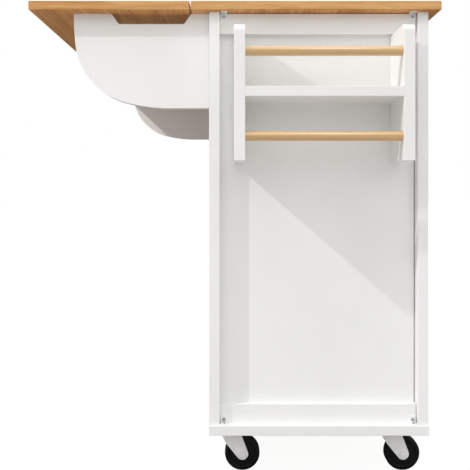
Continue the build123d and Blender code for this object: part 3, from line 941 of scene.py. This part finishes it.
class ISLAND_OT_hinges(bpy.types.Operator):
    """Plates the hinges and puts raised screws in their leaves"""

    bl_idname = "island.hinges"
    bl_label = "Hinges"

    def execute(self, context):
        fitting = context.scene.island_fitting
        leaves = ["surface_hinge_leaves", "door_hinge_leaves", "leaf_hinge_flaps"]
        leaves += [f"{end}_{kind}_hinge_flaps" for end in ENDS for kind in ("bracket", "door")]
        finish_nodes(zinc_plate(), leaves + ["hinge_pins"])
        for node in leaves:
            mesh = bmesh.new()
            for corners in solids_of(node):
                for seat, outward in self.seats_of(corners, fitting):
                    self.add_hinge_screw(mesh, seat, outward, fitting)
            add_piece(f"{node}_screws", mesh, screw_plate(), nodes[node]["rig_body"])
        return {"FINISHED"}

    def add_hinge_screw(self, mesh, seat, outward, fitting):
        """A countersunk screw whose head stands a little proud of its plate."""
        radius, proud = fitting.hinge_screw_radius, fitting.hinge_screw_proud
        core, flat = 0.5 * radius, 0.72 * radius
        sunk, rim = 1 * MM, 0.1 * MM
        turn_per_metre = 90
        add_screw(
            mesh,
            seat,
            outward,
            turn=(seat.x + seat.z) * turn_per_metre,
            profile=[(0, -sunk), (core, -sunk), (radius, -rim), (radius, 0), (flat, proud)],
            cross_reach=0.55 * radius,
            cross_depth=proud + 0.4 * MM,
        )

    def seats_of(self, corners, fitting):
        """Where one hinge leaf's screws go, read from the shape of the leaf.

        It is longest along its pin and thinnest through its plate, and the pin's end of the plate is
        the thicker one.
        """
        edge_width = 0.5 * MM
        low, high = box_of(corners)
        sizes = high - low
        along = max(range(3), key=lambda axis: sizes[axis])
        through = min(range(3), key=lambda axis: sizes[axis])
        across = 3 - along - through
        edges = []
        for value, way in ((low[across], 1), (high[across], -1)):
            near = [corner[through] for corner in corners if abs(corner[across] - value) < edge_width]
            edges.append((max(near) - min(near), value, way, near))
        _, edge, way, plate = min(edges)
        middle = (low[through] + high[through]) / 2
        face = max(plate) if middle > max(plate) else min(plate)
        outward = Vector((0, 0, 0))
        outward[through] = 1 if middle > face else -1
        for offset in (-fitting.hinge_screw_spacing / 2, fitting.hinge_screw_spacing / 2):
            seat = (low + high) / 2
            seat[along] += offset
            seat[across] = edge + way * fitting.hinge_screw_inset
            seat[through] = face
            yield seat, outward


class ISLAND_OT_casters(bpy.types.Operator):
    """Coats the casters' forks and axles, plates their top plates and gives the wheels their rubber"""

    bl_idname = "island.casters"
    bl_label = "Casters"

    def execute(self, context):
        low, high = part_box("near_back_wheel")
        coated = [f"{caster}_{piece}" for caster in CASTERS for piece in ("fork", "axle")]
        finish_nodes(powder_coat(), coated)
        finish_nodes(zinc_plate(), ["caster_plates"])
        finish_nodes(moulded_rubber(high.z - low.z), [f"{caster}_wheel" for caster in CASTERS])
        return {"FINISHED"}


class ISLAND_OT_fixings(bpy.types.Operator):
    """Coats the corner angles, and draws their screws and the casters' again with cross recesses"""

    bl_idname = "island.fixings"
    bl_label = "Angles and screws"

    def execute(self, context):
        finish_nodes(powder_coat(), ["corner_angles"])
        mesh = bmesh.new()
        for corners in solids_of("pan_head_screws"):
            self.add_pan_screw(mesh, corners, context.scene.island_fitting)
        piece = add_piece("cross_head_screws", mesh, screw_plate(), "cabinet")
        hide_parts("pan_head_screws")
        return {"FINISHED"}

    def add_pan_screw(self, mesh, corners, fitting):
        """A pan head screw in place of a plain one."""
        radius, height = fitting.pan_head_radius, fitting.pan_head_height
        shank, reach = fitting.pan_shank_radius, fitting.pan_shank_length
        point, shoulder, flat = 0.3 * shank, 0.93 * radius, 0.78 * radius
        blunt, taper = 0.5 * MM, 3 * MM
        turn_per_metre = 70
        seat, outward = self.seat_of(corners, height)
        add_screw(
            mesh,
            seat,
            outward,
            turn=(seat.x + seat.y + seat.z) * turn_per_metre,
            profile=[
                (0, -reach),
                (point, -reach + blunt),
                (shank, -reach + taper),
                (shank, 0),
                (radius, 0),
                (radius, 0.4 * height),
                (shoulder, 0.75 * height),
                (flat, height),
            ],
            cross_reach=0.55 * radius,
            cross_depth=0.6 * height,
        )

    def seat_of(self, corners, head_height):
        """Where a screw's head seats, and the way that the head points."""
        end_width = 0.1 * MM
        low, high = box_of(corners)
        along = max(range(3), key=lambda axis: high[axis] - low[axis])
        middle = (low + high) / 2
        reaches = []
        for value, way in ((low[along], -1), (high[along], 1)):
            end = [corner for corner in corners if abs(corner[along] - value) < end_width]
            spread = max((corner - middle).length for corner in end)
            reaches.append((spread, value, way))
        _, top, way = max(reaches)
        outward = Vector((0, 0, 0))
        outward[along] = way
        middle[along] = top - way * head_height
        return middle, outward


class ISLAND_OT_stage(bpy.types.Operator):
    """Sets the floor, the light and the camera"""

    bl_idname = "island.stage"
    bl_label = "Studio"

    def execute(self, context):
        studio = context.scene.island_studio
        self.add_floor(studio)
        self.add_sky(context.scene, studio)
        self.add_key(studio)
        self.add_strip(studio)
        self.add_camera(context.scene, studio)
        context.scene.view_settings.view_transform = "Standard"
        return {"FINISHED"}

    def add_floor(self, studio):
        """A square floor, 30 m from its middle to each side."""
        half = 30
        corners = ((-half, -half), (half, -half), (half, half), (-half, half))
        mesh = bmesh.new()
        mesh.faces.new([mesh.verts.new((x, y, 0)) for x, y in corners])
        floor = add_mesh("studio_floor", mesh, self.pale_floor(studio))

    def pale_floor(self, studio):
        """Matte floor paint, almost white, whose glow is most of what is seen and keeps shadows faint.

        The island is lit from below by what the floor and a sheet on it throw back, not by that glow.
        """
        material, tree = start_material("pale_studio_floor")
        pale = add_node(
            tree,
            "ShaderNodeBsdfPrincipled",
            {
                "Base Color": rgba(darkened(studio.floor, studio.floor_shade)),
                "Roughness": 0.9,
                "Emission Color": rgba(studio.floor),
                "Emission Strength": 1 - studio.floor_shade,
            },
        )
        where = add_node(tree, "ShaderNodeTexCoord")
        axes = add_node(tree, "ShaderNodeSeparateXYZ", {"Vector": where.outputs["Object"]})
        past_sheet = add_node(
            tree,
            "ShaderNodeMapRange",
            {
                "Value": axes.outputs["X"],
                "From Min": studio.sheet_edge[0],
                "From Max": studio.sheet_edge[1],
            },
        )
        tint = add_node(
            tree,
            "ShaderNodeMix",
            {
                MIX_FACTOR: past_sheet.outputs["Result"],
                MIX_COLOURS[0]: rgba(studio.sheet_bounce),
                MIX_COLOURS[1]: rgba(studio.floor_bounce),
            },
            data_type="RGBA",
        )
        bounce = add_node(tree, "ShaderNodeBsdfDiffuse", {"Color": tint.outputs[MIX_COLOUR_RESULT]})
        ray = add_node(tree, "ShaderNodeLightPath")
        shader = add_node(
            tree,
            "ShaderNodeMixShader",
            {0: ray.outputs["Is Camera Ray"], 1: bounce.outputs["BSDF"], 2: pale.outputs["BSDF"]},
        )
        add_node(tree, "ShaderNodeOutputMaterial", {"Surface": shader.outputs["Shader"]})
        return material

    def add_sky(self, scene, studio):
        """A sky that is brightest overhead and behind the camera, and dim at the horizon."""
        white = (1, 1, 1, 1)
        horizon_top = 0.42
        # Each row takes the strength over to a new one, from the first value on its axis to the second
        steps = (
            ("X", -1, 0, studio.side_sky),
            ("X", 0, 0.85, studio.back_sky),
            ("Y", -0.4, -1, studio.right_sky),
            ("Z", 0.6, 0.95, studio.top_sky),
        )
        scene.world = bpy.data.worlds.new("studio_sky")
        scene.world.use_nodes = True
        tree = scene.world.node_tree
        tree.nodes.clear()
        where = add_node(tree, "ShaderNodeTexCoord")
        way = add_node(tree, "ShaderNodeSeparateXYZ", {"Vector": where.outputs["Generated"]})
        strength = studio.front_sky
        for axis, start, end, level in steps:
            step = add_node(
                tree,
                "ShaderNodeMapRange",
                {
                    "Value": way.outputs[axis],
                    "From Min": start,
                    "From Max": end,
                    "To Min": strength,
                    "To Max": level,
                },
            )
            strength = step.outputs["Result"]
        share = add_node(
            tree,
            "ShaderNodeMapRange",
            {
                "Value": way.outputs["Z"],
                "From Min": 0,
                "From Max": horizon_top,
                "To Min": studio.low_share,
            },
        )
        dimmed = add_node(
            tree, "ShaderNodeMath", {0: strength, 1: share.outputs["Result"]}, operation="MULTIPLY"
        )
        sky = add_node(
            tree, "ShaderNodeBackground", {"Color": white, "Strength": dimmed.outputs["Value"]}
        )
        # What is seen behind the island is plain white, whatever the sky sheds there
        backdrop = add_node(tree, "ShaderNodeBackground", {"Color": white})
        ray = add_node(tree, "ShaderNodeLightPath")
        shown = add_node(
            tree,
            "ShaderNodeMixShader",
            {
                0: ray.outputs["Is Camera Ray"],
                1: sky.outputs["Background"],
                2: backdrop.outputs["Background"],
            },
        )
        add_node(tree, "ShaderNodeOutputWorld", {"Surface": shown.outputs["Shader"]})

    def add_key(self, studio):
        """A small lamp from the leaf side, above the camera, as bright far away as near."""
        light = bpy.data.lights.new("key_lamp", "POINT")
        light.energy = studio.key_power
        light.shadow_soft_size = studio.key_radius
        light.use_nodes = True
        tree = light.node_tree
        tree.nodes.clear()
        falloff = add_node(tree, "ShaderNodeLightFalloff", {"Strength": 1})
        glow = add_node(tree, "ShaderNodeEmission", {"Strength": falloff.outputs["Constant"]})
        add_node(tree, "ShaderNodeOutputLight", {"Surface": glow.outputs["Emission"]})
        add_object("key_lamp", light).location = studio.key_place

    def add_strip(self, studio):
        """A strip light that only the dowels catch, which draws a highlight along each."""
        light = bpy.data.lights.new("strip_light", "AREA")
        light.energy = studio.strip_power
        light.shape = "RECTANGLE"
        light.size = studio.strip_width
        light.size_y = studio.strip_length
        low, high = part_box("rack_dowels")
        aim = (low + high) / 2 - Vector(studio.strip_place)
        receivers = bpy.data.collections.new("strip_light_receivers")
        receivers.objects.link(nodes["rack_dowels"])
        strip = add_object("strip_light", light)
        strip.location = studio.strip_place
        strip.rotation_mode = "QUATERNION"
        strip.rotation_quaternion = aim.to_track_quat("-Z", "Y")
        strip.light_linking.receiver_collection = receivers

    def add_camera(self, scene, studio):
        """The photograph's view, level and along the island."""
        lens = bpy.data.cameras.new("photo_camera")
        lens.lens = studio.lens
        lens.shift_y = studio.horizon_shift
        camera = add_object("photo_camera", lens)
        camera.location = studio.eye
        camera.rotation_euler = (math.radians(90), 0, math.radians(-90))
        scene.camera = camera


OPERATORS = (
    ISLAND_OT_worktop,
    ISLAND_OT_cabinet,
    ISLAND_OT_rack,
    ISLAND_OT_brackets,
    ISLAND_OT_drawers,
    ISLAND_OT_doors,
    ISLAND_OT_hinges,
    ISLAND_OT_casters,
    ISLAND_OT_fixings,
    ISLAND_OT_stage,
)


class ISLAND_PT_panel(bpy.types.Panel):
    """Lists the island's pieces"""

    bl_idname = "ISLAND_PT_panel"
    bl_label = "Kitchen island"
    bl_space_type = "VIEW_3D"
    bl_region_type = "UI"
    bl_category = "Kitchen island"

    def draw(self, context):
        for operator in OPERATORS:
            self.layout.operator(operator.bl_idname)


SETTINGS = {
    "island_wood": WoodSettings,
    "island_paint": PaintSettings,
    "island_fitting": FittingSettings,
    "island_studio": StudioSettings,
}


def register():
    """Makes the settings, operators and panel known to Blender."""
    for made in (*SETTINGS.values(), *OPERATORS, ISLAND_PT_panel):
        bpy.utils.register_class(made)
    for name, group in SETTINGS.items():
        setattr(bpy.types.Scene, name, PointerProperty(type=group))


def unregister():
    """Takes them away again."""
    for name in SETTINGS:
        delattr(bpy.types.Scene, name)
    for made in (ISLAND_PT_panel, *reversed(OPERATORS), *SETTINGS.values()):
        bpy.utils.unregister_class(made)


def main():
    """Dresses the island and sets the studio."""
    register()
    bpy.ops.island.worktop()
    bpy.ops.island.cabinet()
    bpy.ops.island.rack()
    bpy.ops.island.brackets()
    bpy.ops.island.drawers()
    bpy.ops.island.doors()
    bpy.ops.island.hinges()
    bpy.ops.island.casters()
    bpy.ops.island.fixings()
    bpy.ops.island.stage()


if __name__ == "__main__":
    main()
